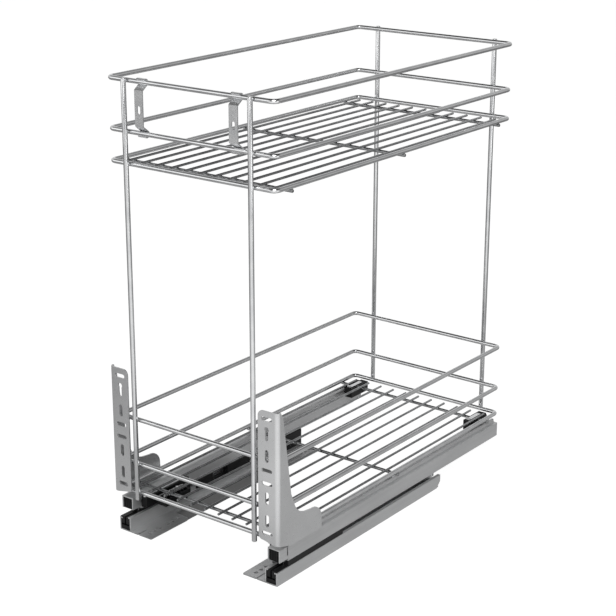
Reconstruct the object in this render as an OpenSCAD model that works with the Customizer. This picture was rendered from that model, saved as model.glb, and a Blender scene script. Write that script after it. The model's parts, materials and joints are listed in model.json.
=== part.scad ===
// Two-tier pull-out wire basket on a pair of over-and-under full-extension runners.
// Millimetres, +Z up, the door side faces -Y, the origin is on the cabinet floor at the middle.

/* [Basket frame] */
// Width of the basket, frame wire centre to frame wire centre
basket_w = 237.5; // [220:0.5:320]
// Depth of the basket, frame wire centre to frame wire centre
basket_d = 480; // [460:1:600]
// Thickness of the frame wires
wire_d = 5.5; // [5:0.5:7]
// Corner radius of the frame wires, at the wire centre
corner_r = 7; // [6:0.5:16]
// How deep a welded wire sinks into its neighbour
weld_sink = 0.1; // [0.05:0.01:0.2]

/* [Tiers] */
// Height of the upper floor rim above the lower floor rim
tier_pitch = 405.2; // [300:0.5:500]
// Height of the middle rail above its floor rim
mid_rise = 37; // [30:0.5:45]
// Height of the top rail above its floor rim
top_rise = 94.8; // [80:0.1:120]

/* [Floor grids] */
// Thickness of the front-to-back floor wires
floor_wire_d = 3; // [2:0.5:4]
// Thickness of the cross wires that carry them
cross_wire_d = 4; // [3:0.5:5]
// Number of front-to-back floor wires
floor_wires = 11; // [7:2:13]
// Gap from the side rim centre to the outermost floor wire
floor_wire_side = 12.75; // [10:0.25:16]
// Gap from the rim centre to the end of a floor wire
floor_wire_short = 12; // [8:0.5:20]
// Distance of the front and rear cross wires from the rim centre
cross_inset = 27; // [24:0.5:28]

/* [Uprights] */
// Thickness of the uprights
upright_d = 6; // [5:0.5:7]
// Gap from the side rim centre to an upright centre
upright_inset = 28.5; // [28:0.25:32]
// Length of the front uprights below the lower rim centre
upright_drop_front = 7.5; // [4:0.5:12]
// Length of the rear uprights below the lower rim centre
upright_drop_rear = 3; // [3:0.5:8]
// Length of the uprights above the top rail centre
upright_rise = 3; // [2:0.5:6]

/* [Top clips] */
// Gap from the side rim centre to a top clip centre
clip_inset = 51.15; // [45:0.05:60]
// Width of a top clip
clip_w = 12; // [10:0.5:20]
// Sheet thickness of a top clip
clip_t = 1.5; // [1:0.1:1.8]
// Gap between a clip hook and the wire inside it
clip_fit = 0.1; // [0.05:0.01:0.3]
// Gap between the flat of the clip and the front of the rail
clip_stand = 2.1; // [1.8:0.1:2.2]
// Slant of the clip legs between a rail and the strap, in degrees below level
clip_slant = 37; // [30:1:50]
// Width of the slotted hole in a clip
clip_slot_w = 4.6; // [3:0.1:6]
// Length of the slotted hole in a clip
clip_slot_l = 9.4; // [8:0.1:14]
// Distance of the slotted hole below the middle of the clip
clip_slot_drop = 1.6; // [0:0.1:3]
// How far each face of a clip's leg lies inside the faces of its ring
clip_step = 0.02; // [0.01:0.01:0.05]

/* [Front brackets] */
// Sheet thickness of a front bracket
bracket_t = 1.8; // [1.2:0.1:2]
// Width of the bracket face that the door is screwed to
bracket_w = 28.5; // [27:0.1:30]
// Height of the bracket face
bracket_h = 160.8; // [158:0.1:200]
// Distance of the bracket face ahead of the front rail centre
bracket_stand = 8; // [7:0.1:8.8]
// Gap between the bracket side and the frame wires
bracket_gap = 3.7; // [3.4:0.05:4]
// Bend radius outside the bracket corner
bracket_bend_r = 5; // [3:0.5:6]
// Width of the screw slots
bracket_slot_w = 5; // [3:0.1:5.5]
// Gap from the inner edge of the face to the middle of the slots
bracket_slot_side = 12.4; // [11:0.1:14]
// Length of the upright screw slots
bracket_slot_l = 15.2; // [10:0.1:16]
// Length of the level screw slots
bracket_cross_slot_l = 15; // [10:0.5:16]
// Height of the lowest upright screw slot above the bottom of the face
bracket_slot_z = 27.8; // [24:0.1:29]
// Distance between the two lowest upright screw slots
bracket_slot_pitch = 28.1; // [26:0.1:29]
// Reach of the bracket foot along the runner, from the front rail centre
bracket_reach = 72.7; // [71:0.1:90]
// Width of the bracket foot, from its outer side in over the runner shoulder
bracket_foot_w = 9.8; // [9.4:0.1:10]
// Height of the pad under the bracket foot
bracket_pad = 2.6; // [1:0.1:3]

/* [Runners] */
// Runner centre inboard of the frame wire centre
runner_inset = 5.25; // [5.15:0.05:5.4]
// Outside width of the cabinet rail and the carriage rail
runner_w = 17.5; // [17.2:0.1:17.8]
// Sheet thickness of the cabinet rail and the carriage rail
rail_t = 1.5; // [1.2:0.1:1.6]
// Opening between the lips of both rails
rail_slot_w = 9.5; // [8:0.1:10]
// Height of the cabinet rail
cabinet_h = 16.7; // [16.2:0.1:18]
// Height of the inner wall along the front of the cabinet rail
cabinet_front_h = 18.7; // [18.2:0.1:20]
// Height of the low inner wall along the rest of the cabinet rail
cabinet_inner_h = 12.2; // [12:0.1:12.8]
// Length of the cabinet rail
cabinet_l = 341; // [320:1:400]
// How far the cabinet rail stands ahead of the front rail centre
cabinet_lead = 5; // [2:0.5:8]
// Air gap between the cabinet rail and the carriage rail
runner_gap = 8; // [7.5:0.1:10]
// Height of the carriage rail walls
carriage_h = 18.5; // [18:0.1:20]
// Height of the raised bead on the carriage rail
bead_h = 4; // [3.2:0.1:5]
// Width of the bead at its top
bead_w = 7; // [6:0.1:7.5]
// Gap from the front rail centre to the carriage sheet, filled by the end cap
carriage_start = 15.7; // [12:0.1:16]
// Gap from the carriage rail end to the rear frame wire centre
carriage_short = 3; // [2:0.5:8]
// Gap between the carriage bead and the cross wires
basket_lift = 2; // [1:0.1:3]

/* [Middle rails] */
// Thickness of the middle rail web and flanges
middle_t = 1.6; // [1.4:0.1:2]
// Width of the middle rail flanges
middle_flange_w = 12; // [10.5:0.1:12.4]
// Height of the lower flange above the cabinet floor
middle_drop_z = 7.2; // [7:0.1:7.4]
// Height of the top of the middle rail
middle_top_z = 35; // [34:0.1:36]
// Gap from the front rail centre to the middle rail
middle_start = 18; // [17:0.5:24]
// Gap from the middle rail end to the carriage rail end
middle_short = 7; // [4:0.5:12]
// Length of the cabinet rail left free behind the lower flange
lower_flange_short = 6; // [4:0.5:12]

/* [Guides] */
// Running gap between the guides and the sliding rails
guide_gap = 0.3; // [0.2:0.05:0.4]
// Gap between a plastic piece and the sheet that holds it
seat_gap = 0.15; // [0.1:0.05:0.3]
// Length of the front guide inside the cabinet rail
front_guide_l = 60; // [40:1:60]
// Length of the rib on top of the front guide
guide_rib_l = 106; // [80:1:110]
// Length of the glides on the middle rail
glide_l = 37; // [25:1:38]
// Length of the rear guide in the carriage rail
rear_guide_l = 55; // [40:1:70]

/* [Mounting feet] */
// Width of a foot beside its rail
foot_w = 33.2; // [30:0.1:40]
// Length of a foot along its rail
foot_l = 73; // [72:0.5:90]
// Diameter of the screw holes in the feet
foot_hole_d = 5; // [4:0.1:6]
// Distance between neighbouring holes
foot_hole_pitch = 9; // [8:0.1:10]
// Distance between the two groups of holes
foot_group_pitch = 32.6; // [31:0.1:34]

/* [Hidden] */
$fn = 48;

front_y = -basket_d / 2;
rear_y = basket_d / 2;
rim_x = basket_w / 2;

// Heights from the cabinet floor up
carriage_z = cabinet_h + runner_gap;
shoulder_z = carriage_z + carriage_h;
bead_z = shoulder_z + bead_h;
cross_z = bead_z + basket_lift + cross_wire_d / 2;
rim_z = cross_z + cross_wire_d / 2 + wire_d / 2 - weld_sink;
floor_z = cross_z + cross_wire_d / 2 + floor_wire_d / 2 - weld_sink;
upper_z = rim_z + tier_pitch;

// Runner places
runner_x = rim_x - runner_inset;
runner_in = runner_x - runner_w / 2;
runner_out = runner_x + runner_w / 2;
bead_shift = -1;
bead_slope = 1;
cabinet_y0 = front_y - cabinet_lead;
cabinet_y1 = cabinet_y0 + cabinet_l;
low_wall_start = 120;
carriage_y0 = front_y + carriage_start;
carriage_y1 = rear_y - carriage_short;
middle_y0 = front_y + middle_start;
middle_y1 = carriage_y1 - middle_short;
lower_flange_y1 = cabinet_y1 - lower_flange_short;
middle_step_z = cabinet_h + 1.5;
channel_w = runner_w - 2 * rail_t;

// Uprights stand outside the frame wires
upright_y = rear_y + wire_d / 2 + upright_d / 2 - weld_sink;
upright_top_z = upper_z + top_rise + upright_rise;
clip_x = rim_x - clip_inset;

// Bracket places
bracket_out = rim_x + wire_d / 2 + bracket_gap + bracket_t;
bracket_in = bracket_out - bracket_w;
bracket_y0 = front_y - bracket_stand;
bracket_z0 = rim_z - 3.5;
bracket_z1 = bracket_z0 + bracket_h;
foot_z = shoulder_z + bracket_pad;
slot_x = bracket_in + bracket_slot_side;
rivet_x = runner_x + 5.1;
rivet_ys = [front_y + 36, front_y + 62];
rivet_shank_d = 3;
catch_top_z = shoulder_z - 2;

// Points on an arc, for outlines
function arc(centre, r, from, to, steps = 8) =
    [for (i = [0 : steps]) let (a = from + (to - from) * i / steps) centre + r * [cos(a), sin(a)]];

// A block between two corners
module span(low, high) {
    translate(low) cube(high - low);
}

// A flat outline in Y and Z, made thick across X and centred on x
module across(x, w) {
    translate([x - w / 2, 0, 0]) rotate([90, 0, 90]) linear_extrude(w) children();
}

// A flat outline in X and Z, running along Y from y0 to y1
module along(y0, y1) {
    translate([0, y1, 0]) rotate([90, 0, 0]) linear_extrude(y1 - y0) children();
}

module left_side() {
    mirror([1, 0, 0]) children();
}

// A slot with round ends, long along its own X
module slot_2d(l, w) {
    square([l - w, w], center = true);
    for (s = [-1, 1]) translate([s * (l - w) / 2, 0]) circle(d = w);
}

// A closed frame wire with round corners
module wire_loop(z) {
    translate([0, 0, z]) {
        for (s = [-1, 1]) {
            translate([s * rim_x, 0, 0]) rotate([90, 0, 0])
                cylinder(d = wire_d, h = basket_d - 2 * corner_r, center = true);
            translate([0, s * rear_y, 0]) rotate([0, 90, 0])
                cylinder(d = wire_d, h = basket_w - 2 * corner_r, center = true);
        }
        for (turn = [[1, 1, 0], [-1, 1, 90], [-1, -1, 180], [1, -1, 270]])
            translate([turn.x * (rim_x - corner_r), turn.y * (rear_y - corner_r), 0])
                rotate([0, 0, turn.z]) rotate_extrude(angle = 90)
                    translate([corner_r, 0]) circle(d = wire_d);
    }
}

module lower_floor_rim() { color("silver") wire_loop(rim_z); }
module lower_mid_rail() { color("silver") wire_loop(rim_z + mid_rise); }
module lower_top_rail() { color("silver") wire_loop(rim_z + top_rise); }
module upper_floor_rim() { color("silver") wire_loop(upper_z); }
module upper_mid_rail() { color("silver") wire_loop(upper_z + mid_rise); }
module upper_top_rail() { color("silver") wire_loop(upper_z + top_rise); }

module upright(side, end, drop) {
    color("silver") translate([side * (rim_x - upright_inset), end * upright_y, rim_z - drop])
        cylinder(d = upright_d, h = upright_top_z - rim_z + drop);
}

module left_front_upright() { upright(-1, -1, upright_drop_front); }
module right_front_upright() { upright(1, -1, upright_drop_front); }
module left_rear_upright() { upright(-1, 1, upright_drop_rear); }
module right_rear_upright() { upright(1, 1, upright_drop_rear); }

// Three wires across the floor, under the rim
module cross_wires(lift) {
    color("silver") for (y = [front_y + cross_inset, 0, rear_y - cross_inset])
        translate([0, y, cross_z + lift]) rotate([0, 90, 0])
            cylinder(d = cross_wire_d, h = basket_w + wire_d, center = true);
}

// The long floor wires, laid on the cross wires inside the rim
module floor_wires(lift) {
    first = -rim_x + floor_wire_side;
    pitch = (basket_w - 2 * floor_wire_side) / (floor_wires - 1);
    color("darkgray") for (i = [0 : floor_wires - 1])
        translate([first + i * pitch, 0, floor_z + lift]) rotate([90, 0, 0])
            cylinder(d = floor_wire_d, h = basket_d - 2 * floor_wire_short, center = true);
}

module lower_cross_wires() { cross_wires(0); }
module lower_floor_wires() { floor_wires(0); }
module upper_cross_wires() { cross_wires(tier_pitch); }
module upper_floor_wires() { floor_wires(tier_pitch); }

// Part of a ring in Y and Z round a wire, for sheet that is rolled over it
module hook_2d(z, from, to) {
    hook_r = wire_d / 2 + clip_fit;
    reach = 3 * (hook_r + clip_t);
    translate([front_y, z]) intersection() {
        difference() {
            circle(r = hook_r + clip_t);
            circle(r = hook_r);
        }
        polygon(concat([[0, 0]], arc([0, 0], reach, from, to, 6)));
    }
}

// Outline in Y and Z of one leg from inside the ring round a wire to the flat strap, down where way is -1
function leg_points(z, way, strap_y) =
    let(hook_r = wire_d / 2 + clip_fit,
        along_leg = [-cos(clip_slant), way * sin(clip_slant)],
        outward = [sin(clip_slant), way * cos(clip_slant)],
        wire_at = [front_y, z],
        far = (hook_r + clip_t - clip_step) * outward,
        near = (hook_r + clip_step) * outward,
        rooted = (hook_r + clip_t / 2) * [sin(clip_slant + 8), way * cos(clip_slant + 8)])
    [wire_at + far + (far.x - strap_y - clip_t) / cos(clip_slant) * along_leg, wire_at + far, wire_at + rooted,
     wire_at + near, wire_at + near + (near.x - strap_y) / cos(clip_slant) * along_leg];

// Sheet strap that grips the top rail and the middle rail of the upper tier
module top_clip() {
    rail_top = upper_z + top_rise;
    rail_mid = upper_z + mid_rise;
    strap_y = -wire_d / 2 - clip_stand - clip_t;
    bend = 90 - clip_slant;
    lower_leg = leg_points(rail_mid, 1, strap_y);
    color("gainsboro") difference() {
        across(clip_x, clip_w) {
            hook_2d(rail_top, -bend, 130);
            hook_2d(rail_mid, -130, bend);
            polygon(concat(leg_points(rail_top, -1, strap_y), [for (i = [4:-1:0]) lower_leg[i]]));
        }
        translate([clip_x, 0, (rail_top + rail_mid) / 2 - clip_slot_drop])
            along(front_y + strap_y - clip_t, front_y + strap_y + 2 * clip_t)
                rotate([0, 0, 90]) slot_2d(clip_slot_l, clip_slot_w);
    }
}

module right_top_clip() { top_clip(); }
module left_top_clip() { left_side() top_clip(); }

// Face of the bracket in X and Z, with its rounded top corner and sloping foot edge
module bracket_face_2d() {
    top_r = 7;
    foot_r = 5;
    slope_x = 21;
    slope_z = 3.2;
    polygon(concat(
        [[bracket_out - bracket_bend_r - 2, bracket_z0], [bracket_out, bracket_z0], [bracket_out, bracket_z1]],
        arc([bracket_in + top_r, bracket_z1 - top_r], top_r, 90, 180),
        arc([bracket_in + foot_r, bracket_z0 + slope_z + foot_r], foot_r, 180, 260),
        [[bracket_out - slope_x, bracket_z0 + slope_z - 0.2]]));
}

// Side of the bracket in Y and Z: a slim neck, a sweep, and a rounded end over the runner
module bracket_side_2d() {
    neck_y = 1.6;
    neck_drop = 6.3;
    neck_foot = [15.7, 57.3];
    sweep_r = 26;
    sweep_centre = [45.7, 52.3];
    bump_r = 17;
    bump_rise = 8.2;
    toe = [11, 1.6];
    foot_start = 13;
    face_foot = [front_y, bracket_z0];
    polygon(concat(
        [[bracket_y0, bracket_z0], [bracket_y0, bracket_z1], [bracket_y0 + bracket_bend_r + 1, bracket_z1],
         [front_y + neck_y - 3, bracket_z1 - neck_drop / 3], [front_y + neck_y, bracket_z1 - neck_drop],
         face_foot + neck_foot],
        arc(face_foot + sweep_centre, sweep_r, 195, 265),
        arc(face_foot + [bracket_reach - bump_r, bump_rise], bump_r, 96, 0),
        [[front_y + bracket_reach, foot_z], [front_y + foot_start, foot_z], [front_y + toe.x, foot_z + toe.y]]));
}

// Slots that the door screws pass through, in X and Z
module bracket_slots_2d() {
    upright_slots = [bracket_slot_z, bracket_slot_z + bracket_slot_pitch, 107];
    level_slots = [12.3, 73.5, 89.5, bracket_h - 9.4];
    keyhole_low = 127.6;
    keyhole_rise = 11.4;
    for (z = upright_slots)
        translate([slot_x, bracket_z0 + z]) rotate([0, 0, 90]) slot_2d(bracket_slot_l, bracket_slot_w);
    for (z = level_slots)
        translate([slot_x, bracket_z0 + z]) slot_2d(bracket_cross_slot_l, bracket_slot_w);
    translate([slot_x, bracket_z0 + keyhole_low]) {
        circle(d = bracket_slot_w - 0.4);
        translate([0, keyhole_rise]) circle(d = bracket_slot_w + 1.2);
        translate([-bracket_slot_w / 2 + 0.2, 0]) square([bracket_slot_w - 0.4, keyhole_rise]);
    }
}

// Sheet bracket from the runner up to the door
module front_bracket() {
    foot_start = 16;
    color("lightgray") difference() {
        union() {
            intersection() {
                translate([0, 0, shoulder_z]) linear_extrude(bracket_z1 - shoulder_z + 5) difference() {
                    translate([bracket_in, bracket_y0]) square([bracket_w, bracket_stand + bracket_reach]);
                    translate([bracket_in - 1, bracket_y0 + bracket_t])
                        square([bracket_w - bracket_t + 1, bracket_stand + bracket_reach]);
                    translate([bracket_out - bracket_bend_r, bracket_y0]) difference() {
                        square([2 * bracket_bend_r, bracket_bend_r]);
                        translate([0, bracket_bend_r]) circle(r = bracket_bend_r);
                    }
                }
                along(bracket_y0 - 1, front_y + bracket_reach + 1) {
                    bracket_face_2d();
                    translate([bracket_out - bracket_t, shoulder_z])
                        square([bracket_t, bracket_z0 - shoulder_z + 5]);
                }
                across(slot_x, 2 * bracket_w) bracket_side_2d();
            }
            span([bracket_out - bracket_foot_w, front_y + foot_start, foot_z],
                 [bracket_out, front_y + bracket_reach, foot_z + bracket_t]);
            span([bracket_out - bracket_foot_w, front_y + foot_start, shoulder_z],
                 [runner_out, front_y + bracket_reach, foot_z]);
        }
        along(bracket_y0 - 1, bracket_y0 + bracket_t + 1) bracket_slots_2d();
        for (y = rivet_ys)
            translate([rivet_x, y, shoulder_z - 1]) cylinder(d = rivet_shank_d, h = bracket_pad + bracket_t + 2);
    }
}

module right_front_bracket() { front_bracket(); }
module left_front_bracket() { left_side() front_bracket(); }

// Rivets that hold the bracket feet to the runner shoulders
module bracket_rivets() {
    head_d = 4;
    head_h = 0.9;
    color("silver") for (side = [-1, 1], y = rivet_ys) translate([side * rivet_x, y, 0]) {
        translate([0, 0, shoulder_z - rail_t]) cylinder(d = rivet_shank_d, h = rail_t + bracket_pad + bracket_t);
        translate([0, 0, foot_z + bracket_t]) cylinder(d = head_d, h = head_h);
        translate([0, 0, shoulder_z - rail_t - head_h]) cylinder(d = head_d, h = head_h);
    }
}

// Section of the carriage rail in X and Z: an inverted channel with a bead on top
module bead_2d(w, top, foot) {
    x = runner_x + bead_shift;
    polygon([[x - w / 2 - bead_slope, foot], [x + w / 2 + bead_slope, foot], [x + w / 2, top], [x - w / 2, top]]);
}

module carriage_section_2d() {
    difference() {
        union() {
            translate([runner_in, carriage_z]) square([runner_w, carriage_h]);
            bead_2d(bead_w, bead_z, shoulder_z);
        }
        translate([runner_in + rail_t, carriage_z + rail_t])
            square([channel_w, carriage_h - 2 * rail_t]);
        bead_2d(bead_w - 2 * rail_t, bead_z - rail_t, shoulder_z - rail_t);
        translate([runner_x - rail_slot_w / 2, carriage_z - 1]) square([rail_slot_w, rail_t + 2]);
    }
}

top_rivet_d = 3.5;

module carriage_rail() {
    notch_l = 6;
    color("darkgray") difference() {
        along(carriage_y0, carriage_y1) carriage_section_2d();
        span([runner_in - 1, carriage_y1 - notch_l, shoulder_z - rail_t - 0.5],
             [runner_x, carriage_y1 + 1, bead_z + 1]);
        for (y = rivet_ys)
            translate([rivet_x, y, shoulder_z - rail_t - 1]) cylinder(d = rivet_shank_d, h = rail_t + 2);
        translate([runner_x + bead_shift, 0, bead_z - rail_t - 1])
            cylinder(d = top_rivet_d, h = rail_t + 2);
    }
}

module right_carriage_rail() { carriage_rail(); }
module left_carriage_rail() { left_side() carriage_rail(); }

// Hollow rivet in the bead under the middle cross wire
module carriage_rivets() {
    head_d = 6;
    head_h = 0.9;
    bore_d = 1.8;
    color("silver") for (side = [-1, 1]) translate([side * (runner_x + bead_shift), 0, 0]) difference() {
        union() {
            translate([0, 0, bead_z - rail_t]) cylinder(d = top_rivet_d, h = rail_t);
            translate([0, 0, bead_z]) cylinder(d = head_d, h = head_h);
            translate([0, 0, bead_z - rail_t - head_h]) cylinder(d = top_rivet_d + 0.4, h = head_h);
        }
        translate([0, 0, bead_z - rail_t - 2 * head_h]) cylinder(d = bore_d, h = rail_t + 4 * head_h);
    }
}

// Cap on the front end of the carriage rail, open in front and below, with a plug inside the rail
module end_cap() {
    wall = 1.5;
    cap_z = carriage_z + 2.7;
    rib_t = 1;
    rib_back = 5;
    back_y = carriage_y0 - 2.5;
    notch_z = carriage_z + 7;
    plug_l = 1.8;
    plug_w = channel_w / 2 - seat_gap;
    color("gray") {
        difference() {
            span([runner_in, front_y, cap_z], [runner_out, carriage_y0, shoulder_z]);
            span([runner_in + wall, front_y - 1, cap_z - 1], [runner_out - wall, back_y, shoulder_z - wall]);
            for (x = [runner_in - 1, runner_out - wall])
                span([x, carriage_y0 - 2, notch_z], [x + wall + 1, carriage_y0 + 1, shoulder_z + 1]);
            span([runner_in - 1, carriage_y0 - 2, shoulder_z - wall], [runner_out + 1, carriage_y0 + 1, shoulder_z + 1]);
        }
        for (x = [runner_x - channel_w / 6, runner_x + channel_w / 6])
            span([x - rib_t / 2, front_y + rib_back, cap_z], [x + rib_t / 2, back_y + 0.5, shoulder_z - wall + 0.5]);
        span([runner_x - plug_w, back_y, cap_z],
             [runner_x + plug_w, carriage_y0 + plug_l, shoulder_z - rail_t - seat_gap]);
    }
}

module right_end_cap() { end_cap(); }
module left_end_cap() { left_side() end_cap(); }

// Section of the middle rail, an I beam; grow adds clearance all round
module middle_section_2d(grow = 0) {
    low_z = rail_t + middle_drop_z - 1.5;
    flange_w = middle_flange_w + 2 * grow;
    flange_h = middle_t + 2 * grow;
    translate([runner_x - middle_t / 2 - grow, low_z]) square([middle_t + 2 * grow, middle_top_z - low_z]);
    for (z = [low_z, middle_top_z - middle_t])
        translate([runner_x - flange_w / 2, z - grow]) square([flange_w, flange_h]);
}

module middle_rail() {
    color("gainsboro") difference() {
        along(middle_y0, middle_y1) middle_section_2d();
        span([runner_in, lower_flange_y1, 0], [runner_out, middle_y1 + 1, middle_step_z]);
    }
}

module right_middle_rail() { middle_rail(); }
module left_middle_rail() { left_side() middle_rail(); }

// Plastic glide gripping the front of the upper flange, running in the carriage rail
module front_glide() {
    half_w = channel_w / 2 - guide_gap;
    roof = shoulder_z - rail_t - guide_gap - 1;
    color("dimgray") difference() {
        span([runner_x - half_w, middle_y0 + 2, carriage_z + rail_t + guide_gap],
             [runner_x + half_w, middle_y0 + 2 + glide_l, roof]);
        along(middle_y0, middle_y1) middle_section_2d(seat_gap);
    }
}

module right_front_glide() { front_glide(); }
module left_front_glide() { left_side() front_glide(); }

// Plastic glide gripping the rear of the lower flange, running in the cabinet rail
module rear_glide() {
    half_w = channel_w / 2 - guide_gap;
    color("dimgray") difference() {
        span([runner_x - half_w, lower_flange_y1 - glide_l, rail_t + guide_gap],
             [runner_x + half_w, lower_flange_y1, cabinet_inner_h - rail_t - guide_gap]);
        along(middle_y0, middle_y1) middle_section_2d(seat_gap);
    }
}

module right_rear_glide() { rear_glide(); }
module left_rear_glide() { left_side() rear_glide(); }

// Plastic guide at the rear of the carriage rail, round the upper flange
module carriage_guide() {
    half_w = channel_w / 2 - seat_gap;
    color("dimgray") difference() {
        span([runner_x - half_w, carriage_y1 - rear_guide_l - 1, carriage_z + rail_t + seat_gap],
             [runner_x + half_w, carriage_y1 - 1, shoulder_z - rail_t - seat_gap - 0.4]);
        along(carriage_y0, carriage_y1) middle_section_2d(guide_gap);
    }
}

module right_carriage_guide() { carriage_guide(); }
module left_carriage_guide() { left_side() carriage_guide(); }

// Section of the cabinet rail: a channel with lips, and one wall that may be lower
module cabinet_section_2d(inner_h) {
    lip = (runner_w - rail_slot_w) / 2;
    translate([runner_in, 0]) square([runner_w, rail_t]);
    translate([runner_in, 0]) square([rail_t, inner_h]);
    translate([runner_in, inner_h - rail_t]) square([lip, rail_t]);
    translate([runner_out - rail_t, 0]) square([rail_t, cabinet_h]);
    translate([runner_out - lip, cabinet_h - rail_t]) square([lip, rail_t]);
}

// One mounting foot in X and Y, its front edge at y = 0
module foot_2d() {
    hole_first = 10.8;
    hole_inset = 21.6;
    notch_inset = 12.65;
    notch_l = 15;
    notch_w = 2;
    tip_r = 1.5;
    heel_r = 7;
    edge_x = runner_in - foot_w;
    difference() {
        polygon(concat(
            [[runner_in + 1, foot_l], [runner_in + 1, 0]],
            arc([edge_x + tip_r, tip_r], tip_r, -90, -180),
            arc([edge_x + heel_r, foot_l - heel_r - 1.5], heel_r, 180, 100)));
        for (group = [0, 1], i = [0 : 2])
            translate([runner_in - hole_inset, hole_first + group * foot_group_pitch + i * foot_hole_pitch])
                circle(d = foot_hole_d);
        translate([runner_in - notch_inset - notch_w / 2, -1]) square([notch_w, notch_l + 1]);
        translate([runner_in - notch_inset, notch_l]) circle(d = notch_w);
    }
}

module cabinet_rail() {
    lip_w = 8;
    rear_cut = 9;
    color("darkgray") difference() {
        union() {
            along(cabinet_y0, cabinet_y0 + low_wall_start) cabinet_section_2d(cabinet_front_h);
            along(cabinet_y0 + low_wall_start, cabinet_y1) cabinet_section_2d(cabinet_inner_h);
            translate([0, cabinet_y0, 0]) linear_extrude(rail_t) foot_2d();
            translate([0, cabinet_y1, 0]) mirror([0, 1, 0]) linear_extrude(rail_t) foot_2d();
            linear_extrude(rail_t) polygon([[runner_in + 1, cabinet_y0 + foot_l - 1],
                [runner_in - lip_w, cabinet_y0 + foot_l - 1],
                [runner_in - lip_w / 3, cabinet_y1 - foot_l + 1], [runner_in + 1, cabinet_y1 - foot_l + 1]]);
        }
        across(runner_out, 4 * rail_t)
            polygon([[cabinet_y1 - rear_cut, -1], [cabinet_y1 + 1, -1], [cabinet_y1 + 1, rear_cut]]);
        span([runner_in - 1, cabinet_y1 - glide_l, rail_t], [runner_in + rail_t + 0.01, cabinet_y1 + 1, cabinet_h]);
    }
}

module right_cabinet_rail() { cabinet_rail(); }
module left_cabinet_rail() { left_side() cabinet_rail(); }

// Plastic guide at the mouth of the cabinet rail, with a rib in the gap outside
module front_guide() {
    half_w = channel_w / 2 - seat_gap;
    neck = rail_slot_w / 2 - seat_gap;
    cap = runner_w / 2 - 1;
    top_z = cabinet_h + 1.5;
    rib_y = front_y + 16;
    guide_y1 = cabinet_y0 + front_guide_l;
    color("dimgray") difference() {
        union() {
            span([runner_x - half_w, cabinet_y0, rail_t + seat_gap],
                 [runner_x, guide_y1, cabinet_front_h - rail_t - seat_gap]);
            span([runner_x - 1, cabinet_y0, rail_t + seat_gap],
                 [runner_x + half_w, guide_y1, cabinet_h - rail_t - seat_gap]);
            span([runner_x - neck, cabinet_y0, cabinet_inner_h], [runner_x + neck, guide_y1, top_z]);
            span([runner_x - 1, cabinet_y0, cabinet_h + seat_gap], [runner_x + cap, guide_y1, top_z]);
            span([runner_x + neck - 1, rib_y, cabinet_h + seat_gap],
                 [runner_x + cap + 0.7, rib_y + guide_rib_l, carriage_z - guide_gap]);
        }
        along(cabinet_y0 - 1, cabinet_y1) middle_section_2d(guide_gap);
    }
}

module right_front_guide() { front_guide(); }
module left_front_guide() { left_side() front_guide(); }

// Plastic strip on the low inner wall, with a window that shows the middle rail
module side_guide() {
    strip_y0 = cabinet_y0 + low_wall_start + 4;
    window_y0 = strip_y0 + 30;
    window_l = 30;
    strip_y1 = strip_y0 + 105;
    window_floor = cabinet_inner_h + 1.6;
    strip_in = runner_in + 0.3;
    color("dimgray") difference() {
        span([strip_in, strip_y0, cabinet_inner_h],
             [runner_x - middle_t / 2 - guide_gap - 0.5, strip_y1, carriage_z - guide_gap - 0.3]);
        across(strip_in, 2 * runner_w) {
            translate([window_y0 + 5, window_floor]) square([window_l - 5, runner_gap + 10]);
            translate([window_y0, window_floor + 5]) square([window_l, runner_gap + 10]);
            translate([window_y0 + 5, window_floor + 5]) circle(r = 5);
        }
    }
}

module right_side_guide() { side_guide(); }
module left_side_guide() { left_side() side_guide(); }

// Plastic stop that fills the cut-away rear end of the inner wall
module rail_stop() {
    stop_y0 = cabinet_y1 - glide_l;
    web_side = runner_x - middle_t / 2 - guide_gap - 0.5;
    color("dimgray") {
        span([runner_in, stop_y0, rail_t], [runner_in + rail_t - 0.1, cabinet_y1, cabinet_inner_h + 3]);
        span([runner_in, stop_y0, cabinet_inner_h], [web_side, cabinet_y1, carriage_z - guide_gap - 1.2]);
    }
}

module right_rail_stop() { rail_stop(); }
module left_rail_stop() { left_side() rail_stop(); }

// Black housing of the hold-in catch, on the inner wall of the carriage rail
module catch_housing() {
    near = runner_in - seat_gap;
    y0 = front_y + 15;
    body_l = 78;
    body_w = 9;
    arm_w = 25;
    arm = [17, 62];
    low_z = carriage_z + 2.5;
    arm_z = shoulder_z - 7;
    floor_t = 2;
    wall = 2;
    bumper_l = 12;
    color("dimgray") difference() {
        union() {
            span([near - body_w, y0, low_z], [near, y0 + body_l, catch_top_z]);
            span([near - arm_w, y0 + arm[0], low_z], [near - body_w + 1, y0 + arm[1], arm_z]);
            span([near - body_w - 2, y0 + body_l - bumper_l, carriage_z - 5], [near, y0 + body_l, low_z + 4]);
        }
        for (bay = [[arm[0] + wall, 31], [33, 46], [48, arm[1] - wall]])
            span([near - arm_w + wall, y0 + bay[0], low_z + floor_t], [near - body_w - wall, y0 + bay[1], arm_z + 1]);
    }
}

module right_catch_housing() { catch_housing(); }
module left_catch_housing() { left_side() catch_housing(); }

// Sheet spring of the catch, lying on the housing
module catch_spring() {
    near = runner_in - seat_gap;
    y0 = front_y + 17;
    strip_w = 6;
    strip_l = 68;
    eye_d = strip_w;
    lip_l = 2;
    strip_t = 1;
    color("gainsboro") translate([near - 1 - strip_w, y0, catch_top_z]) {
        cube([strip_w, strip_l, strip_t]);
        translate([0, strip_l, 0]) cube([strip_w, lip_l, 2 * strip_t]);
        translate([strip_w / 2, strip_t, 0]) cylinder(d = eye_d, h = 2 * strip_t);
    }
}

module right_catch_spring() { catch_spring(); }
module left_catch_spring() { left_side() catch_spring(); }

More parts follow.
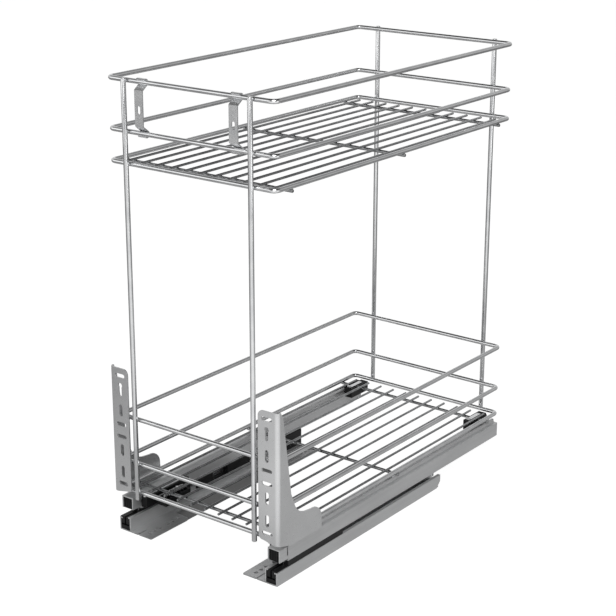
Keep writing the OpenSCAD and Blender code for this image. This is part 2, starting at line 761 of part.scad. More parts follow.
// Black clip that holds the rear cross wire down on the runner
module rear_clip() {
    wire_y = rear_y - cross_inset;
    near = runner_in - seat_gap;
    wire_gap = 0.15;
    saddle = cross_wire_d / 2 + wire_gap;
    low_z = shoulder_z - 4;
    top_z = floor_z - floor_wire_d / 2 - wire_gap;
    color("dimgray") difference() {
        union() {
            span([near - 12, wire_y - 16, low_z], [near, wire_y + 24, top_z]);
            span([near - 1, wire_y - 13, shoulder_z + seat_gap],
                 [runner_in + 3.2, wire_y + 20, top_z]);
        }
        span([near - 13, wire_y - saddle, cross_z], [runner_in + 4, wire_y + saddle, top_z + 1]);
        translate([near - 13, wire_y, cross_z]) rotate([0, 90, 0])
            cylinder(r = saddle, h = 20);
        span([near - 9, wire_y - 13, low_z - 1], [near - 3, wire_y - 6, cross_z - 4]);
    }
}

module right_rear_clip() { rear_clip(); }
module left_rear_clip() { left_side() rear_clip(); }

// Sheet strap over the cross wire, closing the clip
module clip_spring() {
    wire_y = rear_y - cross_inset;
    strap_x = runner_in - 6;
    strap_z = cross_z + cross_wire_d / 2 + 0.2;
    rear_x = strap_x - 3;
    color("gainsboro") {
        span([rear_x, wire_y - 14, strap_z], [rear_x + 6, wire_y + 14, strap_z + 0.8]);
        span([rear_x, wire_y - 14, strap_z], [rear_x + 6, wire_y - 12.5, strap_z + 3]);
    }
}

module right_clip_spring() { clip_spring(); }
module left_clip_spring() { left_side() clip_spring(); }

lower_floor_rim();
lower_mid_rail();
lower_top_rail();
upper_floor_rim();
upper_mid_rail();
upper_top_rail();
left_front_upright();
right_front_upright();
left_rear_upright();
right_rear_upright();
lower_cross_wires();
lower_floor_wires();
upper_cross_wires();
upper_floor_wires();
left_top_clip();
right_top_clip();
left_front_bracket();
right_front_bracket();
bracket_rivets();
carriage_rivets();
left_carriage_rail();
right_carriage_rail();
left_end_cap();
right_end_cap();
left_carriage_guide();
right_carriage_guide();
left_catch_housing();
right_catch_housing();
left_catch_spring();
right_catch_spring();
left_rear_clip();
right_rear_clip();
left_clip_spring();
right_clip_spring();
left_middle_rail();
right_middle_rail();
left_front_glide();
right_front_glide();
left_rear_glide();
right_rear_glide();
left_cabinet_rail();
right_cabinet_rail();
left_front_guide();
right_front_guide();
left_side_guide();
right_side_guide();
left_rail_stop();
right_rail_stop();
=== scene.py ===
import bpy
import json
import math
from mathutils import Matrix, Vector

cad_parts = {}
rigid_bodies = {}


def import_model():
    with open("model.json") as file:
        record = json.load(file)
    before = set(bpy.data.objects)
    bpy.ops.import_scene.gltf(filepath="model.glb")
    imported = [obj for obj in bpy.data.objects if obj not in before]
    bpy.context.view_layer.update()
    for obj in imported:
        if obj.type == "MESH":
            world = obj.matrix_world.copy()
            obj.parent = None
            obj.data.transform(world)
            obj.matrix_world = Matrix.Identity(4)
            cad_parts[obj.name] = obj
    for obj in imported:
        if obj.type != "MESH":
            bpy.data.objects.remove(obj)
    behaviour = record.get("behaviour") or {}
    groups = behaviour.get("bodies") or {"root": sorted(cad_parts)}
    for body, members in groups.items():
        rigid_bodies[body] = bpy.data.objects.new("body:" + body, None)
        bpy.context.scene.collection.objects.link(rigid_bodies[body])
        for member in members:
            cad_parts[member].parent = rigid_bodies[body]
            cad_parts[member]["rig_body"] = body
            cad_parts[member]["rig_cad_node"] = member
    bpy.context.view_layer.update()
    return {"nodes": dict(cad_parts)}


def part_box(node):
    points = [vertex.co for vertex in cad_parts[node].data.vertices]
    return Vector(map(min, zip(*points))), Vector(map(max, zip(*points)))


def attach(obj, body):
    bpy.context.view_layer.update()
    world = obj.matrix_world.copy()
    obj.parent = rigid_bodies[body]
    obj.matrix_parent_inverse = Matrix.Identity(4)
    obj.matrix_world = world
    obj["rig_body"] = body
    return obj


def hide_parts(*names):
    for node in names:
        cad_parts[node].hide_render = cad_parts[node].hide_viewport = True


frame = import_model()
nodes = frame["nodes"]
bpy.context.scene.view_settings.view_transform = "Standard"
smoothAngle = math.radians(35)  # an edge sharper than this stays crisp


def deselectAll():
    if bpy.context.object and bpy.context.object.mode != "OBJECT":
        bpy.ops.object.mode_set(mode="OBJECT")
    bpy.ops.object.select_all(action="DESELECT")


def pick(piece):
    deselectAll()
    piece.select_set(True)
    bpy.context.view_layer.objects.active = piece


def editAll():
    bpy.ops.object.mode_set(mode="EDIT")
    bpy.ops.mesh.select_all(action="SELECT")


def editWhere(piece, wanted):
    pick(piece)
    bpy.ops.object.mode_set(mode="EDIT")
    bpy.ops.mesh.select_mode(type="FACE")
    bpy.ops.mesh.select_all(action="DESELECT")
    bpy.ops.object.mode_set(mode="OBJECT")
    for face in piece.data.polygons:
        face.select = wanted(face)
    bpy.ops.object.mode_set(mode="EDIT")


def settle(piece, name):
    pick(piece)
    bpy.ops.object.transform_apply(location=True, rotation=True, scale=True)
    piece.name = name
    piece.data.name = name
    return piece


def copyOf(piece, name, shift):
    twin = piece.copy()
    twin.data = piece.data.copy()
    twin.name = name
    twin.data.name = name
    bpy.context.scene.collection.objects.link(twin)
    twin.data.transform(Matrix.Translation(shift))
    return twin


def joinAll(pieces, name):
    deselectAll()
    for piece in pieces:
        piece.select_set(True)
    bpy.context.view_layer.objects.active = pieces[0]
    bpy.ops.object.join()
    joined = bpy.context.object
    joined.name = name
    joined.data.name = name
    return joined


def finish(piece, body, material, replaced=()):
    piece.data.materials.clear()
    piece.data.materials.append(material)
    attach(piece, body)
    if replaced:
        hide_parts(*replaced)


def bothSides(*names):
    return [side + "_" + name for name in names for side in ("left", "right")]


def middleOf(name):
    low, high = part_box(name)
    return (low + high) / 2


def pieceNameOf(nodeName):
    words = nodeName.split("_")
    return words[0] + "".join(word.capitalize() for word in words[1:])


# Builders for node trees; all but the first two return the socket to link on from
def addNode(tree, kind, at, **settings):
    added = tree.nodes.new(kind)
    added.location = at
    for name, value in settings.items():
        setattr(added, name, value)
    return added


def newMaterial(name, color, roughness, metallic):
    material = bpy.data.materials.new(name)
    material.use_nodes = True
    tree = material.node_tree
    shader = tree.nodes["Principled BSDF"]
    shader.inputs["Base Color"].default_value = (*color, 1)
    shader.inputs["Roughness"].default_value = roughness
    shader.inputs["Metallic"].default_value = metallic
    return material, tree, shader


def noiseOf(tree, scale, detail, at, stretch=(1, 1, 1)):
    coord = addNode(tree, "ShaderNodeTexCoord", (at[0] - 400, at[1]))
    mapping = addNode(tree, "ShaderNodeMapping", (at[0] - 200, at[1]))
    mapping.inputs["Scale"].default_value = stretch
    noise = addNode(tree, "ShaderNodeTexNoise", at)
    noise.inputs["Scale"].default_value = scale
    noise.inputs["Detail"].default_value = detail
    tree.links.new(coord.outputs["Object"], mapping.inputs["Vector"])
    tree.links.new(mapping.outputs["Vector"], noise.inputs["Vector"])
    return noise.outputs["Fac"]


def rangeOf(tree, source, low, high, at, start=0.3, end=0.7):
    spread = addNode(tree, "ShaderNodeMapRange", at)
    spread.inputs["From Min"].default_value = start
    spread.inputs["From Max"].default_value = end
    spread.inputs["To Min"].default_value = low
    spread.inputs["To Max"].default_value = high
    tree.links.new(source, spread.inputs["Value"])
    return spread.outputs["Result"]


def colorsOf(tree, source, dark, light, at, start=0.35, end=0.65):
    ramp = addNode(tree, "ShaderNodeValToRGB", at)
    ramp.color_ramp.elements[0].position = start
    ramp.color_ramp.elements[0].color = (*dark, 1)
    ramp.color_ramp.elements[1].position = end
    ramp.color_ramp.elements[1].color = (*light, 1)
    tree.links.new(source, ramp.inputs["Fac"])
    return ramp.outputs["Color"]


def mixOf(tree, first, second, share, at):
    mixed = addNode(tree, "ShaderNodeMix", at, data_type="FLOAT")
    mixed.inputs["Factor"].default_value = share
    tree.links.new(first, mixed.inputs["A"])
    tree.links.new(second, mixed.inputs["B"])
    return mixed.outputs["Result"]


def mathOf(tree, operation, first, second, at):
    step = addNode(tree, "ShaderNodeMath", at, operation=operation)
    for socket, value in zip(step.inputs, (first, second)):
        if isinstance(value, (int, float)):
            socket.default_value = value
        else:
            tree.links.new(value, socket)
    return step.outputs[0]


def vectorMathOf(tree, operation, vector, at, fixed=None):
    step = addNode(tree, "ShaderNodeVectorMath", at, operation=operation)
    tree.links.new(vector, step.inputs[0])
    if fixed:
        step.inputs[1].default_value = fixed
    return step.outputs["Vector" if operation == "NORMALIZE" else "Value"]


def bumpOf(tree, shader, source, strength, distance, at, before=None):
    bump = addNode(tree, "ShaderNodeBump", at)
    bump.inputs["Strength"].default_value = strength
    bump.inputs["Distance"].default_value = distance
    tree.links.new(source, bump.inputs["Height"])
    if before:
        tree.links.new(before, bump.inputs["Normal"])
    tree.links.new(bump.outputs["Normal"], shader.inputs["Normal"])
    return bump.outputs["Normal"]


print("stage: floor, world, lamps, camera")
# A wide pale floor; what the wires mirror of it is a painted reflection, a glow that only reflections see,
# bright towards the front and hardly at all behind
floorLook = {
    "size": 60,
    "drop": 0.0002,
    "color": (0.22, 0.22, 0.22),
    "roughness": 0.9,
    "cameraGlow": 0.92,
    "glossyGlow": (0.16, 0.95),
    "glossySpan": (0.25, 1),
    "glowTowards": (0.6055, -0.796, 0.0),
    "nearGlow": (0.38, 0.16),
    "nearReach": (0.30, 0.90),
    "frontReach": (0.24, 0.46),
    "shade": ((0, 0.118), (-0.125, 0.125)),  # middle and half size across and along
    "footMargin": 0.0012,
}


def outsideOf(tree, width, depth, spanX, spanY, at):
    # 1 outside the box that both spans make, 0 within it
    within = []
    for source, (middle, half), drop in ((width, spanX, 0), (depth, spanY, -180)):
        near = mathOf(tree, "COMPARE", source, middle, (at[0], at[1] + drop))
        near.node.inputs[2].default_value = half
        within.append(near)
    both = mathOf(tree, "MULTIPLY", *within, (at[0] + 200, at[1]))
    return mathOf(tree, "SUBTRACT", 1, both, (at[0] + 400, at[1]))


# Painted reflection: how strongly the floor glows for reflections, by bearing and by distance from the
# basket
def paintedReflectionGlow(tree, place):
    bearing = vectorMathOf(tree, "NORMALIZE", place, (-1300, 0))
    facing = vectorMathOf(tree, "DOT_PRODUCT", bearing, (-1100, 0), floorLook["glowTowards"])
    distance = vectorMathOf(tree, "LENGTH", place, (-1300, 900))
    towards = rangeOf(tree, facing, *floorLook["glossyGlow"], (-900, 0), *floorLook["glossySpan"])
    ahead = rangeOf(tree, distance, 0, 1, (-900, 1200), *floorLook["frontReach"])
    close = rangeOf(tree, distance, *floorLook["nearGlow"], (-900, 900), *floorLook["nearReach"])
    front = mathOf(tree, "MULTIPLY", towards, ahead, (-700, 1000))
    return mathOf(tree, "MAXIMUM", front, close, (-700, 800))


def makeFloor():
    deselectAll()
    bpy.ops.mesh.primitive_plane_add(size=floorLook["size"], location=(0, 0, -floorLook["drop"]))
    floor = bpy.context.object
    floor.name = "studioFloor"
    material, tree, shader = newMaterial("paleFloor", floorLook["color"], floorLook["roughness"], 0)
    path = addNode(tree, "ShaderNodeLightPath", (-900, 600))
    coord = addNode(tree, "ShaderNodeTexCoord", (-1500, 0))
    place = coord.outputs["Object"]
    split = addNode(tree, "ShaderNodeSeparateXYZ", (-1300, -400))
    tree.links.new(place, split.inputs[0])
    width = mathOf(tree, "ABSOLUTE", split.outputs["X"], 0, (-1100, -400))
    depth = split.outputs["Y"]
    # painted shade: the floor's glow in reflections is cut out between the runners, and all its glow is
    # cut out under the feet, so the holes in the feet show a painted shadow
    outside = outsideOf(tree, width, depth, *floorLook["shade"], (-900, -900))
    low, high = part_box("right_cabinet_rail")
    middle, half = (low + high) / 2, (high - low) / 2
    margin = floorLook["footMargin"]
    footX, footY = (middle.x, half.x - margin), (middle.y, half.y - margin)
    # painted shadow: 0 under the feet, where the floor's glow is cut out
    clear = outsideOf(tree, width, depth, footX, footY, (-900, -400))
    glossy, clearRay = path.outputs["Is Glossy Ray"], path.outputs["Is Transmission Ray"]
    mirrored = mathOf(tree, "ADD", glossy, clearRay, (-600, 400))
    paintedReflection = mathOf(tree, "MULTIPLY", mirrored, paintedReflectionGlow(tree, place), (-600, 200))
    reflected = mathOf(tree, "MULTIPLY", paintedReflection, outside, (-400, 200))
    seen = mathOf(tree, "MULTIPLY", path.outputs["Is Camera Ray"], floorLook["cameraGlow"], (-400, 600))
    glow = mathOf(tree, "MULTIPLY", mathOf(tree, "ADD", seen, reflected, (-200, 400)), clear, (0, 200))
    shader.inputs["Emission Color"].default_value = (1, 1, 1, 1)
    tree.links.new(glow, shader.inputs["Emission Strength"])
    floor.data.materials.append(material)


# The room is bright low down and dark overhead, and one side of it is brighter than the other
worldLook = {
    "stops": ((0.0, 1.0), (0.35, 0.85), (0.60, 0.55), (0.80, 0.04)),
    "brightSide": (-0.9, 0.3, 0.0),
    "sideLevels": (0.42, 1.0),
}


def makeWorld():
    world = bpy.data.worlds.new("studioWorld")
    bpy.context.scene.world = world
    world.use_nodes = True
    tree = world.node_tree
    back = tree.nodes["Background"]
    coord = addNode(tree, "ShaderNodeTexCoord", (-900, 0))
    split = addNode(tree, "ShaderNodeSeparateXYZ", (-700, 0))
    ramp = addNode(tree, "ShaderNodeValToRGB", (-500, 0))
    stops = ramp.color_ramp.elements
    while len(stops) < len(worldLook["stops"]):
        stops.new(0.5)
    for stop, (place, level) in zip(stops, worldLook["stops"]):
        stop.position = place
        stop.color = (level, level, level, 1)
    direction = coord.outputs["Generated"]
    tree.links.new(direction, split.inputs[0])
    tree.links.new(split.outputs["Z"], ramp.inputs["Fac"])
    tree.links.new(ramp.outputs["Color"], back.inputs["Color"])
    facing = vectorMathOf(tree, "DOT_PRODUCT", direction, (-700, -300), worldLook["brightSide"])
    strength = rangeOf(tree, facing, *worldLook["sideLevels"], (-500, -300), -1, 1)
    tree.links.new(strength, back.inputs["Strength"])


# Each lamp: its place, its width and height, its power in watts
lampLook = {
    "topLamp": ((1.05, -1.25, 2.2), (1.2, 1.2), 28),
    "nearLamp": ((1.4, -1.85, 1.1), (0.9, 0.9), 7),
    "rightLamp": ((2.3, -0.30, 0.35), (0.7, 0.4), 2),
    "leftLamp": ((-1.9, -2.5, 1.2), (3.2, 1.8), 13),
}
lampTarget = Vector((0, 0, 0.25))


def makeLamp(name, at, size, power):
    deselectAll()
    bpy.ops.object.light_add(type="AREA", location=at)
    lamp = bpy.context.object
    lamp.name = name
    lamp.data.shape = "RECTANGLE"
    lamp.data.size = size[0]
    lamp.data.size_y = size[1]
    lamp.data.energy = power
    lamp.rotation_euler = (lampTarget - Vector(at)).to_track_quat("-Z", "Y").to_euler()


cameraLook = {
    "azimuth": 37.268,
    "elevation": 18.4225,
    "roll": 0.0741,
    "target": (-0.02053, 0.0, 0.24067),
    "distance": 1.98973,
    "lens": 92.492,
    "sensor": 36,
}


def makeCamera():
    azimuth = math.radians(cameraLook["azimuth"])
    elevation = math.radians(cameraLook["elevation"])
    back = Vector((math.sin(azimuth) * math.cos(elevation), -math.cos(azimuth) * math.cos(elevation),
                   math.sin(elevation)))
    deselectAll()
    bpy.ops.object.camera_add(location=Vector(cameraLook["target"]) + back * cameraLook["distance"])
    camera = bpy.context.object
    camera.name = "photoCamera"
    camera.data.sensor_fit = "HORIZONTAL"
    camera.data.sensor_width = cameraLook["sensor"]
    camera.data.lens = cameraLook["lens"]
    turn = (-back).to_track_quat("-Z", "Y").to_matrix()
    roll = Matrix.Rotation(math.radians(cameraLook["roll"]), 3, "Z")
    camera.rotation_euler = (turn @ roll).to_euler()
    bpy.context.scene.camera = camera


makeFloor()
makeWorld()
for lampName, lamp in lampLook.items():
    makeLamp(lampName, *lamp)
makeCamera()


print("materials")
# Bright plated wire: a faint haze in the plating and a fine grain; the thin wires are the same plating
# with a much darker base colour, painted shade for the dark they mirror
chromeLook = {
    "dark": (0.60, 0.605, 0.615),
    "light": (0.70, 0.705, 0.71),
    "roughness": (0.13, 0.20),
    "haze": 55,
    "grain": 900,
    "bump": (0.04, 0.00004),
}
shadedThinChromeLook = {
    "dark": (0.26, 0.265, 0.27),
    "light": (0.38, 0.385, 0.39),
    "roughness": (0.14, 0.24),
    "haze": 70,
    "grain": 1100,
    "bump": (0.04, 0.00004),
}


def makeChrome(name, look):
    material, tree, shader = newMaterial(name, look["light"], look["roughness"][0], 1)
    haze = noiseOf(tree, look["haze"], 3, (-700, 300))
    grain = noiseOf(tree, look["grain"], 4, (-700, -200))
    tint = colorsOf(tree, haze, look["dark"], look["light"], (-400, 300))
    tree.links.new(tint, shader.inputs["Base Color"])
    tree.links.new(rangeOf(tree, haze, *look["roughness"], (-400, 0)), shader.inputs["Roughness"])
    bumpOf(tree, shader, grain, *look["bump"], (-200, -200))
    return material


# Coated sheet: metallic flakes in a thin coat with a slight orange peel
sheetLook = {
    "dark": (0.58, 0.585, 0.59),
    "light": (0.66, 0.665, 0.67),
    "roughness": (0.27, 0.35),
    "metallic": 0.85,
    "peel": 650,
    "cloud": 24,
    "flake": 3800,
    "flakeShare": 0.35,
    "tintSpan": (0.3, 0.6),
    "bump": (0.07, 0.00012),
}


def makeCoatedSheet(name, look):
    material, tree, shader = newMaterial(name, look["light"], look["roughness"][0], look["metallic"])
    peel = noiseOf(tree, look["peel"], 3, (-900, -300))
    cloud = noiseOf(tree, look["cloud"], 4, (-900, 0))
    flake = addNode(tree, "ShaderNodeTexVoronoi", (-900, 500))
    flake.inputs["Scale"].default_value = look["flake"]
    coord = addNode(tree, "ShaderNodeTexCoord", (-1100, 500))
    tree.links.new(coord.outputs["Object"], flake.inputs["Vector"])
    mixed = mixOf(tree, cloud, flake.outputs["Distance"], look["flakeShare"], (-600, 400))
    tint = colorsOf(tree, mixed, look["dark"], look["light"], (-400, 400), *look["tintSpan"])
    tree.links.new(tint, shader.inputs["Base Color"])
    tree.links.new(rangeOf(tree, peel, *look["roughness"], (-400, 0)), shader.inputs["Roughness"])
    bumpOf(tree, shader, peel, *look["bump"], (-200, -300))
    return material


# Rolled rail: fine draw lines along the rail, cloudy patches and a fine grain
railLook = {
    "dark": (0.56, 0.565, 0.57),
    "light": (0.66, 0.665, 0.67),
    "roughness": (0.30, 0.42),
    "metallic": 0.62,
    "draw": 420,
    "drawStretch": (1, 0.012, 1),
    "drawShare": 0.4,
    "drawBump": (0.25, 0.00008),
    "cloud": 30,
    "cloudStretch": (1, 0.35, 1),
    "grain": 3000,
    "grainBump": (0.10, 0.00004),
}


def makeRolledSheet(name, look):
    material, tree, shader = newMaterial(name, look["light"], look["roughness"][0], look["metallic"])
    draw = noiseOf(tree, look["draw"], 5, (-900, -300), look["drawStretch"])
    cloud = noiseOf(tree, look["cloud"], 4, (-900, 100), look["cloudStretch"])
    grain = noiseOf(tree, look["grain"], 2, (-900, 500))
    mixed = mixOf(tree, cloud, draw, look["drawShare"], (-600, 300))
    tint = colorsOf(tree, mixed, look["dark"], look["light"], (-400, 300))
    tree.links.new(tint, shader.inputs["Base Color"])
    tree.links.new(rangeOf(tree, draw, *look["roughness"], (-400, 0)), shader.inputs["Roughness"])
    lines = bumpOf(tree, shader, draw, *look["drawBump"], (-400, -300))
    bumpOf(tree, shader, grain, *look["grainBump"], (-200, -300), lines)
    return material


# Brushed zinc: long brush lines under a soft bloom
zincLook = {
    "dark": (0.76, 0.77, 0.78),
    "light": (0.88, 0.885, 0.89),
    "roughness": (0.20, 0.32),
    "metallic": 0.95,
    "brush": 700,
    "brushStretch": (1, 0.03, 1),
    "bloom": 45,
    "bump": (0.15, 0.00005),
}


def makeBrushedZinc(name, look):
    material, tree, shader = newMaterial(name, look["light"], look["roughness"][0], look["metallic"])
    brush = noiseOf(tree, look["brush"], 4, (-900, -200), look["brushStretch"])
    bloom = noiseOf(tree, look["bloom"], 4, (-900, 200))
    tint = colorsOf(tree, bloom, look["dark"], look["light"], (-400, 300))
    tree.links.new(tint, shader.inputs["Base Color"])
    tree.links.new(rangeOf(tree, brush, *look["roughness"], (-400, 0)), shader.inputs["Roughness"])
    bumpOf(tree, shader, brush, *look["bump"], (-200, -200))
    return material


# Moulded nylon: near black, with flow marks and a fine eroded texture
plasticLook = {
    "dark": (0.004, 0.004, 0.0045),
    "light": (0.010, 0.010, 0.011),
    "roughness": (0.42, 0.58),
    "specular": 0.3,
    "texture": 1700,
    "flow": 60,
    "flowStretch": (1, 0.3, 1),
    "bump": (0.35, 0.00008),
}


def makeMouldedPlastic(name, look):
    material, tree, shader = newMaterial(name, look["dark"], look["roughness"][0], 0)
    shader.inputs["Specular IOR Level"].default_value = look["specular"]
    texture = noiseOf(tree, look["texture"], 2, (-900, -200))
    flow = noiseOf(tree, look["flow"], 5, (-900, 200), look["flowStretch"])
    tint = colorsOf(tree, flow, look["dark"], look["light"], (-400, 300))
    tree.links.new(tint, shader.inputs["Base Color"])
    tree.links.new(rangeOf(tree, flow, *look["roughness"], (-400, 0)), shader.inputs["Roughness"])
    bumpOf(tree, shader, texture, *look["bump"], (-200, -200))
    return material


chrome = makeChrome("chromeWire", chromeLook)
shadedThinChrome = makeChrome("shadedThinChromeWire", shadedThinChromeLook)
coatedSheet = makeCoatedSheet("coatedSheet", sheetLook)
rolledSheet = makeRolledSheet("rolledSheet", railLook)
brushedZinc = makeBrushedZinc("brushedZinc", zincLook)
mouldedPlastic = makeMouldedPlastic("mouldedPlastic", plasticLook)


print("frame wires")
# One round-cornered loop, drawn out and spun, then copied to six heights
loopLook = {
    "sides": 24,
    "cornerSteps": 12,
    "cornerRadius": 0.007,
    "seamMerge": 0.00002,
}
loopNodes = ("lower_floor_rim", "lower_mid_rail", "lower_top_rail",
             "upper_floor_rim", "upper_mid_rail", "upper_top_rail")
rimLow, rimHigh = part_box("lower_floor_rim")
wireRadius = (rimHigh.z - rimLow.z) / 2
rimX = rimHigh.x - wireRadius
rimY = rimHigh.y - wireRadius


def makeLoop():
    corner = loopLook["cornerRadius"]
    flatX = rimX - corner
    flatY = rimY - corner
    deselectAll()
    bpy.ops.mesh.primitive_circle_add(vertices=loopLook["sides"], radius=wireRadius,
                                      location=(rimX, -flatY, 0), rotation=(math.pi / 2, 0, 0))
    loop = settle(bpy.context.object, "loop")
    editAll()
    runs = (((0, 2 * flatY, 0), (flatX, flatY, 0)), ((-2 * flatX, 0, 0), (-flatX, flatY, 0)),
            ((0, -2 * flatY, 0), (-flatX, -flatY, 0)), ((2 * flatX, 0, 0), (flatX, -flatY, 0)))
    for straight, centre in runs:
        bpy.ops.mesh.extrude_region_move(TRANSFORM_OT_translate={"value": straight})
        bpy.ops.mesh.spin(steps=loopLook["cornerSteps"], angle=-math.pi / 2, center=centre, axis=(0, 0, 1))
    bpy.ops.mesh.select_all(action="SELECT")
    bpy.ops.mesh.remove_doubles(threshold=loopLook["seamMerge"])
    bpy.ops.mesh.normals_make_consistent(inside=False)
    bpy.ops.object.mode_set(mode="OBJECT")
    bpy.ops.object.shade_smooth()
    return loop


loopPattern = makeLoop()
for nodeName in loopNodes:
    loop = copyOf(loopPattern, pieceNameOf(nodeName), (0, 0, middleOf(nodeName).z))
    finish(loop, "basket", chrome, [nodeName])
bpy.data.objects.remove(loopPattern)


print("uprights and cross wires")
# Straight wires, with their cut ends rounded over
wireLook = {
    "sides": 24,
    "endRound": 0.3,  # share of the radius
    "endSteps": 3,
    "floorWires": 11,
}
turnAlong = {"x": (0, math.pi / 2, 0), "y": (math.pi / 2, 0, 0), "z": (0, 0, 0)}


def makeWire(name, middle, length, radius, along):
    deselectAll()
    bpy.ops.mesh.primitive_cylinder_add(vertices=wireLook["sides"], radius=radius, depth=length,
                                        location=middle, rotation=turnAlong[along])
    wire = bpy.context.object
    editWhere(wire, lambda face: len(face.vertices) > 4)
    bpy.ops.mesh.bevel(offset=radius * wireLook["endRound"], segments=wireLook["endSteps"], affect="EDGES")
    bpy.ops.object.mode_set(mode="OBJECT")
    settle(wire, name)
    bpy.ops.object.shade_smooth_by_angle(angle=smoothAngle)
    return wire


def makeUpright(nodeName):
    low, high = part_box(nodeName)
    upright = makeWire(pieceNameOf(nodeName), (low + high) / 2, high.z - low.z, (high.x - low.x) / 2, "z")
    finish(upright, "basket", chrome, [nodeName])


def crossWirePlaces(tier):
    low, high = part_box(tier + "_cross_wires")
    radius = (high.z - low.z) / 2
    return radius, (low.y + radius, (low.y + high.y) / 2, high.y - radius)


def floorWirePlaces(tier):
    low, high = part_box(tier + "_floor_wires")
    radius = (high.z - low.z) / 2
    pitch = (high.x - low.x - 2 * radius) / (wireLook["floorWires"] - 1)
    return radius, [low.x + radius + pitch * i for i in range(wireLook["floorWires"])]


def makeCrossWires(tier):
    nodeName = tier + "_cross_wires"
    low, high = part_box(nodeName)
    middle = middleOf(nodeName)
    radius, places = crossWirePlaces(tier)
    length = high.x - low.x
    wires = [makeWire("crossWire", Vector((middle.x, y, middle.z)), length, radius, "x") for y in places]
    finish(joinAll(wires, pieceNameOf(nodeName)), "basket", shadedThinChrome, [nodeName])


def makeFloorWires(tier):
    nodeName = tier + "_floor_wires"
    low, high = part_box(nodeName)
    middle = middleOf(nodeName)
    radius, places = floorWirePlaces(tier)
    first = makeWire("floorWire", Vector((places[0], middle.y, middle.z)), high.y - low.y, radius, "y")
    wires = [first] + [copyOf(first, "floorWire", (x - places[0], 0, 0)) for x in places[1:]]
    finish(joinAll(wires, pieceNameOf(nodeName)), "basket", shadedThinChrome, [nodeName])


for nodeName in bothSides("front_upright", "rear_upright"):
    makeUpright(nodeName)
for tier in ("lower", "upper"):
    makeCrossWires(tier)


print("floor wires and welds")
# Resistance welds: a small squeezed-out nugget wherever two wires cross
weldLook = {
    "sides": 14,
    "rings": 8,
    "spread": 1.15,
    "rise": 0.24,
    "crownFrom": 0.8,
    "crown": (0.7, 0.7, 0.9),
    "floorRadius": 0.0012,
    "rimRadius": 0.0017,
}
turnFacing = {"y": Matrix.Rotation(math.pi / 2, 4, "X"), "z": Matrix.Identity(4)}


def makeNugget(radius):
    deselectAll()
    bpy.ops.mesh.primitive_uv_sphere_add(segments=weldLook["sides"], ring_count=weldLook["rings"],
                                         radius=radius)
    nugget = bpy.context.object
    editAll()
    bpy.ops.transform.resize(value=(weldLook["spread"], weldLook["spread"], weldLook["rise"]))
    bpy.ops.object.mode_set(mode="OBJECT")
    top = max(v.co.z for v in nugget.data.vertices)
    editWhere(nugget, lambda face: abs(face.center.z) > top * weldLook["crownFrom"])
    bpy.ops.transform.resize(value=weldLook["crown"])
    bpy.ops.object.mode_set(mode="OBJECT")
    bpy.ops.object.shade_smooth()
    return nugget


def placeNuggets(name, places, radius, facing):
    pattern = makeNugget(radius)
    pattern.data.transform(turnFacing[facing])
    nuggets = [copyOf(pattern, "weld", place) for place in places]
    bpy.data.objects.remove(pattern)
    # the nuggets take the darkened thin-wire chrome: painted shade where the wires cross
    finish(joinAll(nuggets, name), "basket", shadedThinChrome)


def makeTierWelds(tier):
    ys = crossWirePlaces(tier)[1]
    xs = floorWirePlaces(tier)[1]
    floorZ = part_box(tier + "_floor_wires")[0].z
    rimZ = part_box(tier + "_cross_wires")[1].z
    onWires = [(x, y, floorZ) for x in xs for y in ys]
    onRim = [(x, y, rimZ) for x in (-rimX, rimX) for y in ys]
    placeNuggets(tier + "FloorWelds", onWires, weldLook["floorRadius"], "z")
    placeNuggets(tier + "RimWelds", onRim, weldLook["rimRadius"], "z")


def makeUprightWelds():
    heights = [middleOf(nodeName).z for nodeName in loopNodes]
    places = []
    for nodeName in bothSides("front_upright", "rear_upright"):
        middle = middleOf(nodeName)
        face = math.copysign(rimY + wireRadius, middle.y)
        places += [(middle.x, face, z) for z in heights]
    placeNuggets("uprightWelds", places, weldLook["rimRadius"], "y")


for tier in ("lower", "upper"):
    makeFloorWires(tier)
    makeTierWelds(tier)
makeUprightWelds()


print("end caps and catches")
# Black filling of an end cap, with upright ribs on its front
insertLook = {
    "wall": 0.0017,
    "front": 0.0010,
    "depth": 0.0036,
    "flutes": 9,
    "groove": 0.0009,
    "edge": 0.00012,
    "edgeSteps": 2,
}


def makeInsert(side):
    low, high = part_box(side + "_end_cap")
    wall = insertLook["wall"]
    size = Vector((high.x - low.x - 2 * wall, insertLook["depth"], high.z - low.z - wall))
    middle = Vector(((low.x + high.x) / 2, low.y + insertLook["front"] + size.y / 2, low.z + size.z / 2))
    start = middle.x - size.x / 2
    strip = size.x / insertLook["flutes"]
    deselectAll()
    bpy.ops.mesh.primitive_cube_add(size=1, location=middle, scale=size)
    insert = settle(bpy.context.object, side + "CapInsert")
    bpy.ops.object.mode_set(mode="EDIT")
    for i in range(1, insertLook["flutes"]):
        bpy.ops.mesh.select_all(action="SELECT")
        bpy.ops.mesh.bisect(plane_co=(start + strip * i, 0, 0), plane_no=(1, 0, 0))
    bpy.ops.object.mode_set(mode="OBJECT")
    # every other strip of the front face is pushed in
    editWhere(insert, lambda face: face.normal.y < -0.9 and int((face.center.x - start) / strip) % 2 == 1)
    bpy.ops.mesh.extrude_region_move(TRANSFORM_OT_translate={"value": (0, insertLook["groove"], 0)})
    bpy.ops.object.mode_set(mode="OBJECT")
    soften = insert.modifiers.new("softEdges", "BEVEL")
    soften.width = insertLook["edge"]
    soften.segments = insertLook["edgeSteps"]
    soften.limit_method = "ANGLE"
    pick(insert)
    bpy.ops.object.modifier_apply(modifier="softEdges")
    bpy.ops.object.shade_smooth_by_angle(angle=smoothAngle)
    finish(insert, "basket", mouldedPlastic)


